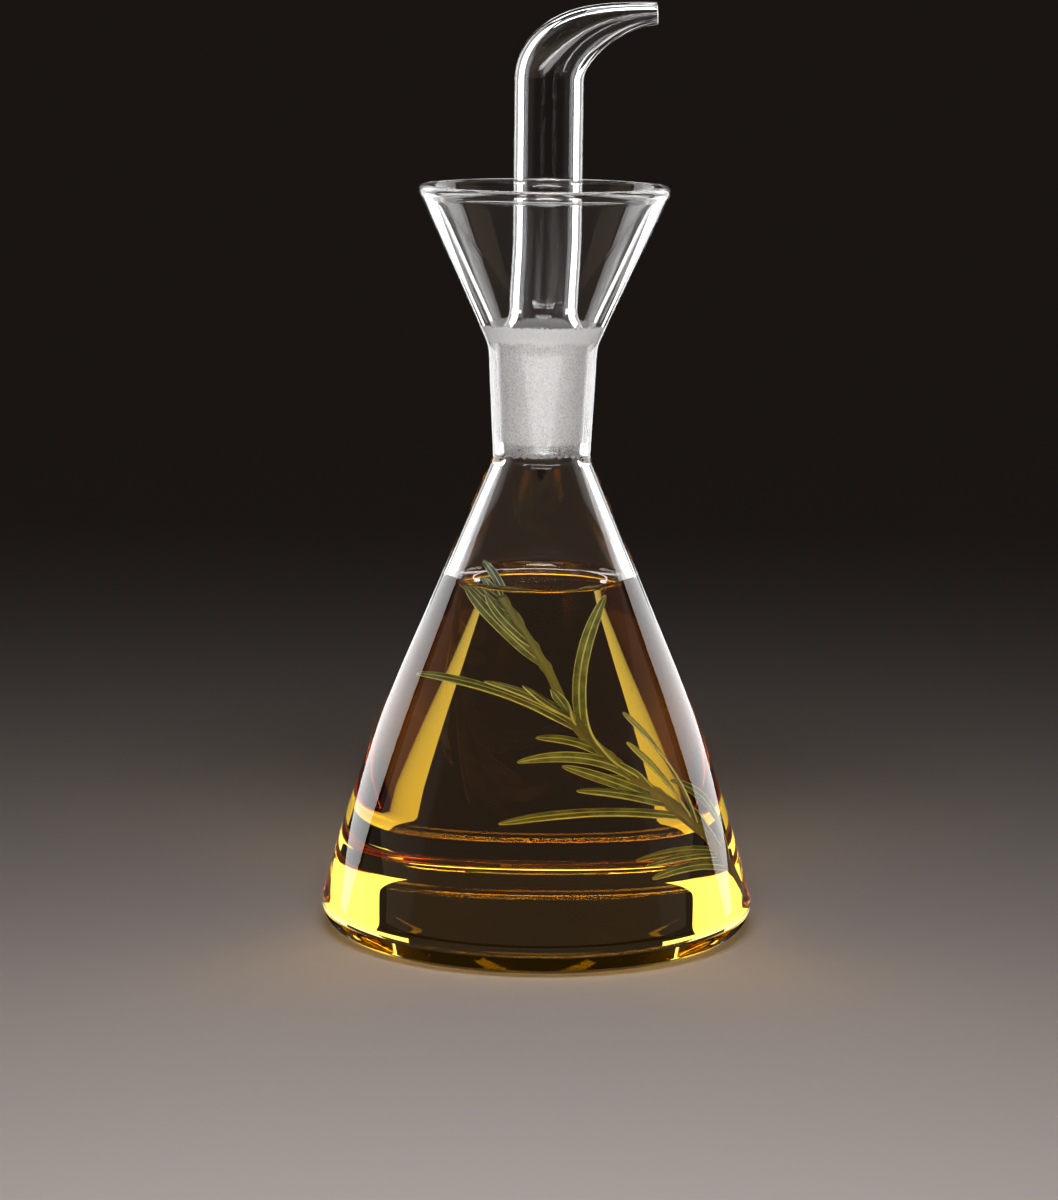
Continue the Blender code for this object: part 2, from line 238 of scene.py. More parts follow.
def filled_in(path):
    """The same path with points added, so that no two are further apart than the step."""
    dense = [path[0]]
    for here, there in zip(path, path[1:]):
        parts = max(1, math.ceil((there - here).length / POINT_STEP))
        dense += [here.lerp(there, part / parts) for part in range(1, parts + 1)]
    return dense


print("points on the outside:", len(rounded(OUTER_CORNERS)))

# %% Move the inner side in by the wall


def crossing(point_a, way_a, point_b, way_b):
    """Where two straight lines of the outline meet."""
    across = way_a.x * way_b.y - way_a.y * way_b.x
    along = ((point_b.x - point_a.x) * way_b.y - (point_b.y - point_a.y) * way_b.x) / across
    return point_a + way_a * along


def inset(corners, walls):
    """The corners of the inner side: each straight stretch moves in by its own wall thickness."""
    lines = []
    for here, there, wall in zip(corners, corners[1:], walls):
        way = (Vector(there[:2]) - Vector(here[:2])).normalized()
        lines.append((Vector(here[:2]) + Vector((-way.y, way.x)) * wall, way))
    inner = []
    for corner, line, following in zip(corners[1:], lines, lines[1:]):
        met = crossing(*line, *following)
        inner.append((met.x, met.y, corner[2]))
    return lines[0][0], inner


def inner_corners(gap=0.0):
    """The inner corners, from the centre of the floor up to the rim, moved in by a gap."""
    walls = [wall + gap for wall in (BASE_WALL, CONE_WALL, CONE_WALL, NECK_WALL, FUNNEL_WALL)]
    floor, (heel, bend, foot, top) = inset(OUTER_CORNERS, walls)
    funnel_way = (Vector(LIP_ROOT[:2]) - Vector(NECK_TOP[:2])).normalized()
    rise = (RIM[1] - top[1]) / funnel_way.y
    return [
        (0.0, floor.y, 0.0),
        (heel[0], heel[1], HEEL[2] - CONE_WALL),
        bend,
        (foot[0], foot[1], NECK_FOOT[2] + NECK_WALL),
        (top[0], top[1], NECK_TOP[2] + NECK_WALL),
        (top[0] + funnel_way.x * rise, RIM[1], RIM_INNER_ROUND),
    ]


print("points on the inside:", len(rounded(inner_corners())))

# %% Read a radius off the outline


def radius_at(path, height):
    """The radius of a path where it first passes a height."""
    for low, high in zip(path, path[1:]):
        if low.y <= height <= high.y and high.y > low.y:
            return low.x + (high.x - low.x) * (height - low.y) / (high.y - low.y)
    raise ValueError("the path doesn't reach this height")


def neck_bore(height):
    """The radius of the neck's inner wall at a height."""
    _, _, _, foot, top, _ = inner_corners()
    return foot[0] + (top[0] - foot[0]) * (height - foot[1]) / (top[1] - foot[1])


print("bore at the joint's top, mm:", round(neck_bore(123.6), 2))

# %% [markdown]
# ## Clear glass and ground glass
# Laboratory glass is nearly colourless. It has no colour of its own here, only its bending power, and
# the look comes from the wall being a true thickness. A thin hollow glass shader would be quicker, but
# it has no bright edges. The joint between neck and spout is ground with grit so that it seals: its
# surface is rough and white. Rough glass alone would let too much of the dark through, so white dust is
# mixed over clear glass: most of it at the top, where the grit bit deepest, and less at the worn foot.
# Oil bends light nearly as glass does, so the wall that it wets has a glass that doesn't bend it.

# %% The two glasses
GLASS_BENDING = 1.473
NO_BENDING = 1.0
CLEAR_WHITE = (1.0, 1.0, 1.0, 1.0)
DUST_WHITE = (0.98, 0.96, 0.95, 1.0)
DUST_GREY = (0.78, 0.75, 0.74, 1.0)
DUST_ROUGHNESS = 0.8
GRAIN_SCALE = 2900.0    # per metre, so that a grain is about a third of a millimetre
GRAIN_DETAIL = 2.0
GRAIN_TONES = (0.3, 0.6)    # the noise values at which the dust is grey and white
GRAIN_CONTRAST = 0.5
GRAIN_DEPTH = 0.0002    # metres
GRAIN_STRENGTH = 0.8
GROUND_LOW = 98.9       # the ground belt, in millimetres above the foot
GROUND_HIGH = 125.8
GROUND_EDGE = 0.15
WHITE_LOW = 121.6       # from here up the grit has bitten deepest
WHITE_HIGH = 122.8
WORN_HIGH = 101.5       # below here the cover is thinner
WORN = 0.22
WANDER_SCALE = 1100.0
WANDER_DETAIL = 3.0
WANDER = 1.5
NECK_COVER = 0.6
TAPER_COVER = 1.0


def clear_shader(start, bending):
    """Colourless glass. Every value stays on the shader's own socket."""
    sockets = {"Base Color": CLEAR_WHITE, "Roughness": 0.0, "IOR": bending, "Transmission Weight": 1.0}
    return start.node("BsdfPrincipled", {}, sockets)


def clear_glass(name, bending=GLASS_BENDING):
    made, start = new_material(name)
    finish_material(start, clear_shader(start, bending))
    return made


# %% Ground glass


def above(ragged, edge):
    """A mask that is 1 above an edge."""
    return ragged.rise(edge - GROUND_EDGE, edge + GROUND_EDGE)


def ground_glass(name, cover):
    """Clear glass under a belt of white dust; the cover is the share of the face that dust hides."""
    made, start = new_material(name)
    place = start.node("TexCoord", {}, {}, "Object")
    height = start.node("SeparateXYZ", {}, {"Vector": place}, "Z")
    grain = start.noise(place, GRAIN_SCALE, GRAIN_DETAIL)
    wander = start.noise(place, WANDER_SCALE, WANDER_DETAIL)
    ragged = height * (1 / MM) + (wander - 0.5) * WANDER
    belt = above(ragged, GROUND_LOW) * (1 - above(ragged, GROUND_HIGH))
    top = ragged.rise(WHITE_LOW, WHITE_HIGH)
    colour = top.between(grain.rise(*GRAIN_TONES).between(DUST_GREY, DUST_WHITE), DUST_WHITE)
    bump = {"Height": grain, "Distance": GRAIN_DEPTH, "Strength": GRAIN_STRENGTH}
    sockets = {"Base Color": colour, "Roughness": DUST_ROUGHNESS, "Normal": start.node("Bump", {}, bump)}
    dust = start.node("BsdfPrincipled", {}, sockets)
    worn = (1 - above(ragged, WORN_HIGH)) * WORN
    share = belt * (top * (1 - cover) + cover - worn + (grain - 0.5) * GRAIN_CONTRAST)
    both = {0: share, 1: clear_shader(start, GLASS_BENDING), 2: dust}
    finish_material(start, start.node("MixShader", {}, both))
    return made


FLASK_GLASS = clear_glass("flask_glass")
SPOUT_GLASS = clear_glass("spout_glass")
GROUND_NECK = ground_glass("ground_neck", NECK_COVER)
GROUND_TAPER = ground_glass("ground_taper", TAPER_COVER)
WETTED_GLASS = clear_glass("wetted_glass", NO_BENDING)
print("glass bends light by", GLASS_BENDING)

# %% [markdown]
# ## Spinning the flask
# The outline is spun about the upright axis. The inner faces beside the joint get the ground glass, and
# those below the oil's edge get the wetted one. Grit never stops on a clean line, so the belt's edge
# wanders by a fraction of a millimetre. The material does that with a noise, since faces small enough
# to follow such an edge would be many.

# %% Spin and finish a piece
SAME_PLACE = 1e-7       # metres within which points are one


def mesh_object(name, mesh, materials):
    """Puts a bmesh in the scene as an object."""
    data = bpy.data.meshes.new(name)
    mesh.to_mesh(data)
    mesh.free()
    for material in materials:
        data.materials.append(material)
    made = bpy.data.objects.new(name, data)
    bpy.context.scene.collection.objects.link(made)
    print(name, "faces:", len(data.polygons))
    return made


def finish_piece(name, mesh, materials):
    """Turns a bmesh into a smooth piece that rides on the jug."""
    bmesh.ops.recalc_face_normals(mesh, faces=mesh.faces)
    made = mesh_object(name, mesh, materials)
    made.data.shade_smooth()
    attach(made, "root")
    return made


def turned(outline, sides):
    """Spins an outline, given as (radius, height) in millimetres, about the upright axis."""
    mesh = bmesh.new()
    points = [mesh.verts.new((point[0] * MM, 0.0, point[1] * MM)) for point in outline]
    edges = [mesh.edges.new(pair) for pair in zip(points, points[1:])]
    bmesh.ops.spin(mesh, geom=points + edges, cent=(0, 0, 0), axis=(0, 0, 1),
                   angle=math.tau, steps=sides, use_merge=True)
    bmesh.ops.remove_doubles(mesh, verts=mesh.verts, dist=SAME_PLACE)
    return mesh


# %% Make the flask
FLASK_SIDES = 180
OIL_LEVEL = 72.0
CLIMB = 1.5             # how far the oil climbs the glass
GROUND_SLOT = 1         # the places of the two finishes in the piece's list
WETTED_SLOT = 2


def grind(mesh, radius_limit):
    """Gives the ground material to the faces of the belt that face the joint."""
    for face in mesh.faces:
        middle = face.calc_center_median()
        height = middle.z / MM
        on_belt = GROUND_LOW - WANDER < height < GROUND_HIGH + WANDER
        if on_belt and radius_limit(middle.xy.length / MM, height):
            face.material_index = GROUND_SLOT


def middle_of_wall(corners, wall):
    """A path up the middle of the wall, which tells the inner faces from the outer ones."""
    lowest = BASE_WALL / 2
    return rounded([(radius - wall / 2, max(height, lowest), 0.0) for radius, height, _ in corners])


def wet(mesh):
    """Gives the wetted material to the inner faces below the oil's edge."""
    halfway = middle_of_wall((HEEL, CONE_BEND, NECK_FOOT), CONE_WALL)
    for face in mesh.faces:
        middle = face.calc_center_median()
        radius = middle.xy.length / MM
        height = middle.z / MM
        if BASE_WALL / 2 < height < OIL_LEVEL + CLIMB and radius < radius_at(halfway, height):
            face.material_index = WETTED_SLOT


def make_flask():
    loop = OUTER_CORNERS + [RIM] + list(reversed(inner_corners()))
    mesh = turned(rounded(loop), FLASK_SIDES)
    halfway = middle_of_wall((CONE_BEND, NECK_FOOT, NECK_TOP, LIP_ROOT), NECK_WALL)
    grind(mesh, lambda radius, height: radius < radius_at(halfway, height))
    wet(mesh)
    flask = finish_piece("flask_blown", mesh, [FLASK_GLASS, GROUND_NECK, WETTED_GLASS])
    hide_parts("flask")


make_flask()

# %% [markdown]
# ## The spout
# The spout is a second piece of glass that only stands in the neck. Its foot is a ground taper, one in
# ten, then a shoulder draws in to the tube, and the tube bends over and narrows to the nozzle. A turned
# shape can't bend, so it is laid as rings: level ones up the tube, then tilted ones along a quarter of
# an ellipse. A groove down one side of the taper lets caught drips run back. It is made by moving the
# points of the rings in, and the points are set closer together there.

# %% The spout's sizes, in millimetres
CLEARANCE = 0.3
JOINT_BOTTOM = 101.6
JOINT_TOP = 123.6
JOINT_WALL = 1.6
JOINT_TOP_ROUND = 0.8
JOINT_INNER_ROUND = 3.0
SHOULDER_TOP = 127.2
SHOULDER_ROUND = 6.0
TUBE_RADIUS = 6.95
TUBE_BORE = 5.35
TUBE_SIDE_STEP = 0.6
SIDE_STEP_TOP = 144.2
BEND_START = 174.2
BEND_RISE = 13.7
BEND_REACH = 23.8
BEND_TURN = 84.0        # degrees
BEND_RINGS = 60
NOZZLE_RADIUS = 2.18
NOZZLE_BORE = 1.05
LIP_STEPS = 8
LIP_BULGE = 0.5         # of half the wall
GROOVE_RADIUS = 0.9
SPOUT_SIDES = 160
CROWDING = 0.6          # how much closer the points stand at the groove
print("wall of the tube, mm:", round(TUBE_RADIUS - TUBE_BORE, 2))

# %% Level rings, with the groove


def spout_turns():
    """The angles round a ring, crowded towards the groove's side."""
    steps = [math.tau * side / SPOUT_SIDES for side in range(SPOUT_SIDES)]
    return [turn + CROWDING * math.sin(turn) for turn in steps]


def side_step(height):
    """How far the tube has moved off the joint's axis at a height, in an easy S."""
    share = min(max((height - SHOULDER_TOP) / (SIDE_STEP_TOP - SHOULDER_TOP), 0.0), 1.0)
    return TUBE_SIDE_STEP * share * share * (3 - 2 * share)


def grooved(radius, height, turn):
    """The radius of the taper at an angle, less where the groove cuts into it."""
    off = radius * math.remainder(turn - math.pi, math.tau)
    if abs(off) >= GROOVE_RADIUS or height > JOINT_TOP + 2 * GROOVE_RADIUS:
        return radius
    return min(radius, neck_bore(height) - math.sqrt(GROOVE_RADIUS ** 2 - off ** 2))


def level_ring(radius, height, groove=False):
    """One level ring of the spout below its bend."""
    middle = side_step(height)
    ring = []
    for turn in spout_turns():
        here = grooved(radius, height, turn) if groove else radius
        ring.append(Vector((middle + here * math.cos(turn), here * math.sin(turn), height)))
    return ring


print("points in a ring:", len(level_ring(TUBE_RADIUS, SIDE_STEP_TOP)))

# %% Tilted rings along the bend


def bend_way(angle):
    """The way the bend runs at an angle."""
    return Vector((BEND_REACH * math.sin(angle), 0.0, BEND_RISE * math.cos(angle))).normalized()


def bend_ring(share, radius, tip_radius):
    """One ring of the bend, along which the tube draws in to the nozzle."""
    angle = math.radians(BEND_TURN) * share
    over = TUBE_SIDE_STEP + BEND_REACH * (1 - math.cos(angle))
    middle = Vector((over, 0.0, BEND_START + BEND_RISE * math.sin(angle)))
    along = bend_way(angle)
    across = Vector((along.z, 0.0, -along.x))
    back = Vector((0.0, 1.0, 0.0))
    here = radius - (radius - tip_radius) * math.sin(angle) ** 3
    return [middle + (across * math.cos(turn) + back * math.sin(turn)) * here for turn in spout_turns()]


def nozzle_lip():
    """The fire-polished end of the nozzle: half a turn from the outer to the inner side."""
    outer = bend_ring(1.0, TUBE_RADIUS, NOZZLE_RADIUS)
    inner = bend_ring(1.0, TUBE_BORE, NOZZLE_BORE)
    bulge = bend_way(math.radians(BEND_TURN)) * (outer[0] - inner[0]).length / 2 * LIP_BULGE
    rings = []
    for step in range(1, LIP_STEPS):
        turn = math.pi * step / LIP_STEPS
        share = (1 - math.cos(turn)) / 2
        push = bulge * math.sin(turn)
        rings.append([out.lerp(into, share) + push for out, into in zip(outer, inner)])
    return rings


print("rings round the lip:", len(nozzle_lip()))

# %% Join the rings and make the spout


def skin(mesh, rings, closed):
    """Joins rings of points into one surface; a closed one runs round to its first ring."""
    made = [[mesh.verts.new(point * MM) for point in ring] for ring in rings]
    pairs = list(zip(made, made[1:]))
    if closed:
        pairs.append((made[-1], made[0]))
    count = len(made[0])
    for low, high in pairs:
        for side in range(count):
            following = (side + 1) % count
            mesh.faces.new((low[side], low[following], high[following], high[side]))
    if not closed:
        mesh.faces.new(reversed(made[0]))
        mesh.faces.new(made[-1])
    return made


def spout_wall(foot_radius, top_radius, top_height, top_round, tube_radius):
    """The points of one side of the spout below the bend, as (radius, height)."""
    return rounded([
        (foot_radius, JOINT_BOTTOM, 0.0),
        (top_radius, top_height, top_round),
        (tube_radius, SHOULDER_TOP, SHOULDER_ROUND),
        (tube_radius, BEND_START - POINT_STEP, 0.0),
    ])


def make_spout():
    foot = neck_bore(JOINT_BOTTOM) - CLEARANCE
    top = neck_bore(JOINT_TOP) - CLEARANCE
    outside = spout_wall(foot, top, JOINT_TOP, JOINT_TOP_ROUND, TUBE_RADIUS)
    inner_top = JOINT_TOP - JOINT_WALL
    inside = spout_wall(foot - JOINT_WALL, top - JOINT_WALL, inner_top, JOINT_INNER_ROUND, TUBE_BORE)
    shares = [step / BEND_RINGS for step in range(BEND_RINGS + 1)]
    rings = [level_ring(*point, groove=True) for point in outside]
    rings += [bend_ring(share, TUBE_RADIUS, NOZZLE_RADIUS) for share in shares]
    rings += nozzle_lip()
    rings += [bend_ring(share, TUBE_BORE, NOZZLE_BORE) for share in reversed(shares)]
    rings += [level_ring(*point) for point in reversed(inside)]
    mesh = bmesh.new()
    skin(mesh, rings, closed=True)
    grind(mesh, lambda radius, height: height < JOINT_TOP and
          neck_bore(height) - 2 * CLEARANCE < radius < neck_bore(height))
    spout = finish_piece("spout_drawn", mesh, [SPOUT_GLASS, GROUND_TAPER])
    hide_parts("spout")


make_spout()

# %% [markdown]
# ## The oil
# Oil wets glass, so it fills the flask to the wall with no air between, and where its level meets the
# glass it climbs a little. The body is the inside of the flask spun again, a hair wider, so that its
# skin lies just within the glass. Its gold comes from depth, not from paint: a Volume Absorption takes
# the blue out of light on its way through, so thin places stay pale. The body doesn't bend light, as
# its glass doesn't either, for where two bending skins overlap they would draw ghosts. Only a thin skin
# over the oil does, on its upper side.

# %% Make the oil
OIL_OVERLAP = 0.25      # how far the oil reaches into the wall, in millimetres
SKIN_OVERLAP = 0.02
SKIN_DEPTH = 0.1
BODY_DROP = 0.15        # how far the body stays below its skin
CLIMB_REACH = 1.3       # how far from the wall the climb dies away
SURFACE_STEPS = 40
OIL_SIDES = 180
OIL_TINT = (0.975, 0.823, 0.0, 1.0)
OIL_DEPTH = 48.0        # per metre


def golden_oil():
    made, start = new_material("golden_oil")
    volume = start.node("VolumeAbsorption", {}, {"Color": OIL_TINT, "Density": OIL_DEPTH})
    finish_material(start, clear_shader(start, NO_BENDING), volume)
    return made


# %% Lay its surface


def surface_path(overlap, drop):
    """The free surface from the wall in to the axis, lowered by a drop."""
    edge = radius_at(rounded(inner_corners()), OIL_LEVEL + CLIMB)
    path = [Vector((edge + overlap, OIL_LEVEL + CLIMB - drop))]
    for step in range(SURFACE_STEPS + 1):
        off = edge * (step / SURFACE_STEPS) ** 2
        path.append(Vector((edge - off, OIL_LEVEL + CLIMB * math.exp(-off / CLIMB_REACH) - drop)))
    return path


def body_outline():
    """From the centre of the floor up the wall, then in along the surface."""
    wall = rounded(inner_corners(gap=-OIL_OVERLAP))
    top = surface_path(OIL_OVERLAP, BODY_DROP)
    return [point for point in wall if point.y < top[0].y - POINT_STEP / 2] + top


print("points in the body's outline:", len(body_outline()))

# %% Fill the flask


def make_oil():
    oil = finish_piece("oil_fill", turned(body_outline(), OIL_SIDES), [golden_oil()])
    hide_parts("oil")


def make_oil_surface():
    """The skin of the oil: its upper side bends light, its underside does nothing."""
    upper = surface_path(SKIN_OVERLAP, 0.0)
    under = surface_path(SKIN_OVERLAP, SKIN_DEPTH)
    mesh = turned(upper + list(reversed(under)), OIL_SIDES)
    bmesh.ops.recalc_face_normals(mesh, faces=mesh.faces)
    for face in mesh.faces:
        face.material_index = 0 if face.normal.z > 0 else 1
    skin_of_oil = finish_piece("oil_surface", mesh, [clear_glass("oil_skin"), WETTED_GLASS])


make_oil()
make_oil_surface()

# %% [markdown]
# ## The rosemary
# A sprig of rosemary is a woody stem with needle leaves. Each leaf is a blade whose edges roll under:
# seen from above it is a dark ridge with a sunk midrib, from below a pale felted channel. A flat card
# with a picture would do from far off, but here the oil magnifies the leaves. So every leaf is laid as
# rings with that section along a curve, and two numbers are kept on each point, how far across the
# blade it is and whether it is above or below. The material turns those into colour.

# %% The stem's way and the leaves' places, in millimetres
STEM_ROUTE = ((37.1, 0.2, 4.8), (33.1, -0.3, 9.9), (25.4, -1.5, 19.4),
              (18.4, -2.2, 26.4), (10.8, -3.3, 34.4), (4.8, -4.6, 43.6),
              (1.7, -5.7, 52.5), (-3.1, -7.0, 63.2), (-6.6, -7.8, 69.6))
STEM_FOOT_RADIUS = 1.05
STEM_TIP_RADIUS = 0.6
CURVE_STEPS = 200
LEAF_THICKNESS = 0.75
LEAF_WAVE = 8.0         # degrees
LEAF_WAVE_RATE = 5.0
FRONT = Vector((0.0, -1.0, 0.0))
# Each leaf: how far up the stem it grows, its tip from its foot, how far its middle bows off the
# straight, how far its face turns to the front (degrees) and its full width.
LEAVES = (
    (7.4, (-14.8, -4.9, -0.4), -1.7, 60, 2.0),
    (8.2, (-12.6, 1.6, 17.4), -3.6, 60, 2.0),
    (9.0, (-8.8, 2.4, 11.0), 0.3, 35, 1.9),
    (10.9, (-14.2, -2.4, -1.2), -1.0, 30, 1.9),
    (11.6, (-16.2, 4.3, -2.3), -1.2, 25, 1.9),
    (19.0, (-11.4, -7.3, 26.0), -2.0, 40, 2.1),
    (20.4, (-10.4, -4.4, 18.0), -1.0, 35, 2.0),
    (21.7, (-29.1, -1.9, -0.6), -2.0, 40, 2.1),
    (22.8, (-13.6, 3.1, 7.4), -1.1, 40, 2.0),
    (24.8, (-17.5, -4.3, 10.0), -0.6, 80, 2.1),
    (25.7, (-14.5, -5.7, 4.7), -0.8, 50, 2.1),
    (29.4, (-21.1, -5.0, 7.7), -4.0, 70, 2.2),
    (32.8, (-6.5, -5.2, 9.6), 0.2, 50, 2.0),
    (34.0, (-11.0, 5.0, 3.0), -1.0, 30, 1.8),
    (38.5, (-4.0, -6.7, 13.8), 1.2, 40, 2.0),
    (40.5, (-10.7, 3.6, 2.8), -1.1, 30, 1.8),
    (46.6, (-27.3, 1.5, 11.6), -2.5, 35, 2.1),
    (46.9, (3.9, -0.7, 29.1), 2.1, 90, 2.2),
    (48.4, (-4.1, -7.2, 9.4), -0.5, 45, 1.9),
    (48.6, (-8.6, -6.2, 9.7), -0.2, 40, 1.9),
    (50.4, (-14.0, -5.1, 8.7), -1.0, 40, 2.0),
    (62.3, (-14.3, -1.2, 17.6), 0.2, 90, 2.3),
    (66.9, (-8.7, -3.5, 12.1), 0.4, 60, 2.0),
    (73.0, (-10.4, 2.2, 7.6), -0.8, 50, 1.9),
    (74.4, (-8.6, 1.4, 7.6), 0.5, 50, 1.8),
    (78.0, (-5.6, 0.5, 6.0), 0.4, 50, 1.7),
    (79.0, (-5.0, 0.8, 8.4), -0.4, 60, 1.7),
)


print("leaves:", len(LEAVES))

# %% Follow the stem


def curve_through(points, share):
    """A smooth curve through points (Catmull-Rom), read at a share of its length from 0 to 1."""
    spans = len(points) - 1
    place = min(max(share, 0.0), 1.0) * spans
    index = min(int(place), spans - 1)
    t = place - index
    near = [Vector(points[min(max(index + step, 0), spans)]) for step in (-1, 0, 1, 2)]
    before, start, end, after = near
    return 0.5 * (2 * start + (end - before) * t + (2 * before - 5 * start + 4 * end - after) * t * t
                  + (3 * start - before - 3 * end + after) * t * t * t)


STEM_POINTS = [curve_through(STEM_ROUTE, step / CURVE_STEPS) for step in range(CURVE_STEPS + 1)]
STEM_LENGTH = sum((there - here).length for here, there in zip(STEM_POINTS, STEM_POINTS[1:]))


def stem_place(distance):
    """The point of the stem a distance up from its foot, and its way there."""
    walked = 0.0
    for here, there in zip(STEM_POINTS, STEM_POINTS[1:]):
        stretch = (there - here).length
        if walked + stretch >= distance:
            return here.lerp(there, (distance - walked) / stretch), (there - here).normalized()
        walked += stretch
    return STEM_POINTS[-1], (STEM_POINTS[-1] - STEM_POINTS[-2]).normalized()


def across_frame(along, hint):
    """Two directions square to a line, the second as near to the hint as it can be."""
    side = along.cross(hint).normalized()
    return side, side.cross(along).normalized()


print("stem length, mm:", round(STEM_LENGTH, 1))

# %% The section of a leaf
LEAF_RINGS = 30
LEAF_SIDE_POINTS = 11
RING_CROWDING = 1.3     # the rings crowd towards the tip
FOOT_WIDTH = 0.5        # the widths are shares of the full one
FOOT_WIDENING = 2.6
TIP_START = 0.62
TIP_LENGTH = 0.385
LEAST_WIDTH = 0.06
LEAST_THICKNESS = 0.35
TIP_THINNING = 3
SECTION_POWER = 2.4     # how boxy the blade is
DOME = 0.9              # heights in the section are shares of half the thickness
MIDRIB_DEPTH = 0.45
MIDRIB_WIDTH = 0.16
CHANNEL_DEPTH = 0.75
CHANNEL_EDGE = 0.45
UNDER_RIB = 0.5
UNDER_RIB_WIDTH = 0.14


def leaf_width(share):
    """A needle leaf's width along its length: a narrow foot, full soon after, a blunt tip."""
    foot = min(1.0, FOOT_WIDTH + FOOT_WIDENING * share)
    tip = math.sqrt(max(0.0, 1 - max(0.0, (share - TIP_START) / TIP_LENGTH) ** 2))
    return foot * tip


def dip(place, width):
    """A smooth dip of depth 1 at the middle, as wide as asked."""
    return math.exp(-(place / width) ** 2)


def dome(across):
    """The height of the blade's rounded side at a place across it."""
    return DOME * (1 - abs(across) ** SECTION_POWER) ** (1 / SECTION_POWER)


def leaf_section():
    """The blade's section as (across, up, upper side) with across from -1 to 1."""
    places = [-math.cos(math.pi * step / LEAF_SIDE_POINTS) for step in range(LEAF_SIDE_POINTS + 1)]
    section = []
    for across in places:
        section.append((across, dome(across) - MIDRIB_DEPTH * dip(across, MIDRIB_WIDTH), 1.0))
    for across in reversed(places[1:-1]):
        channel = CHANNEL_DEPTH * (1 - dip(abs(across) - 1, CHANNEL_EDGE))
        under = channel - dome(across) - UNDER_RIB * dip(across, UNDER_RIB_WIDTH)
        section.append((across, under, -1.0))
    return section


print("points in a leaf's section:", len(leaf_section()))

# %% Lay the leaves


def leaf_rings(station, reach, bow, turn, width):
    """The rings of points of one leaf, from its foot in the stem to its tip."""
    foot, stem_way = stem_place(station)
    reach = Vector(reach)
    sideways = Vector((-reach.z, 0.0, reach.x)).normalized()
    knee = foot + reach / 2 + sideways * 2 * bow
    tip = foot + reach
    rings = []
    for step in range(LEAF_RINGS + 1):
        share = 1 - (1 - step / LEAF_RINGS) ** RING_CROWDING
        middle = foot * (1 - share) ** 2 + knee * 2 * share * (1 - share) + tip * share ** 2
        along = ((knee - foot) * (1 - share) + (tip - knee) * share).normalized()
        _, upper = across_frame(along, stem_way)
        face = math.radians(turn + LEAF_WAVE * math.sin(LEAF_WAVE_RATE * share + station))
        front = (FRONT - along * along.dot(FRONT)).normalized()
        _, facing = across_frame(along, upper * math.cos(face) + front * math.sin(face))
        side = facing.cross(along)
        fullness = max(leaf_width(share), LEAST_WIDTH)
        half = width / 2 * fullness
        thick = LEAF_THICKNESS / 2 * (LEAST_THICKNESS + (1 - LEAST_THICKNESS) * fullness)
        thick *= min(1.0, fullness * TIP_THINNING)
        rings.append([middle + side * half * x + facing * thick * y for x, y, _ in leaf_section()])
    return rings


def make_leaves(mesh, across_layer, upper_layer, along_layer):
    """Every leaf of the sprig, with its two numbers kept on the points."""
    section = leaf_section()
    for leaf in LEAVES:
        rings = skin(mesh, leaf_rings(*leaf), closed=False)
        for step, ring in enumerate(rings):
            for vert, (across, _, upper) in zip(ring, section):
                vert[across_layer] = across
                vert[upper_layer] = upper
                vert[along_layer] = step / LEAF_RINGS


# %% [markdown]
# ## The stem and the sprig's finish
# The stem is woody at its foot and green at its tip, swollen where each pair of leaves leaves it, and
# finely ridged along its length. The swelling and the ridges are put in the ring's radius. In the
# material the numbers on the points pick the colours: dark olive on top, felt grey below, and a pale
# painted highlight along the margin and midrib, in place of the light from behind that rims them.

# %% Lay the stem
STEM_RINGS = 220
STEM_SIDES = 20
KNOT_SWELL = 0.28
KNOT_LENGTH = 0.9
RIDGE = 0.06
RIDGES = 5
RIDGE_TWIST = 0.5       # radians to the millimetre
END_TAPER = 0.5


def make_stem(mesh, along_layer, stem_layer):
    """The stem, a slim ridged tube with a knot at each leaf."""
    rings = []
    for step in range(STEM_RINGS + 1):
        share = step / STEM_RINGS
        walked = STEM_LENGTH * share
        middle, along = stem_place(walked)
        side, up = across_frame(along, FRONT)
        knots = sum(dip(walked - leaf[0], KNOT_LENGTH) for leaf in LEAVES)
        radius = STEM_FOOT_RADIUS + (STEM_TIP_RADIUS - STEM_FOOT_RADIUS) * share
        radius += KNOT_SWELL * min(1.0, knots)
        if step in (0, STEM_RINGS):
            radius *= END_TAPER
        ring = []
        for corner in range(STEM_SIDES):
            turn = math.tau * corner / STEM_SIDES
            here = radius * (1 + RIDGE * math.cos(RIDGES * turn + RIDGE_TWIST * walked))
            ring.append(middle + (side * math.cos(turn) + up * math.sin(turn)) * here)
        rings.append(ring)
    for step, ring in enumerate(skin(mesh, rings, closed=False)):
        for vert in ring:
            vert[stem_layer] = 1.0
            vert[along_layer] = step / STEM_RINGS


# %% Finish and make the sprig
LEAF_DARK = (0.07, 0.105, 0.07, 1.0)
LEAF_LIGHT = (0.17, 0.225, 0.16, 1.0)
LEAF_RIM_HIGHLIGHT = (0.72, 0.76, 0.60, 1.0)
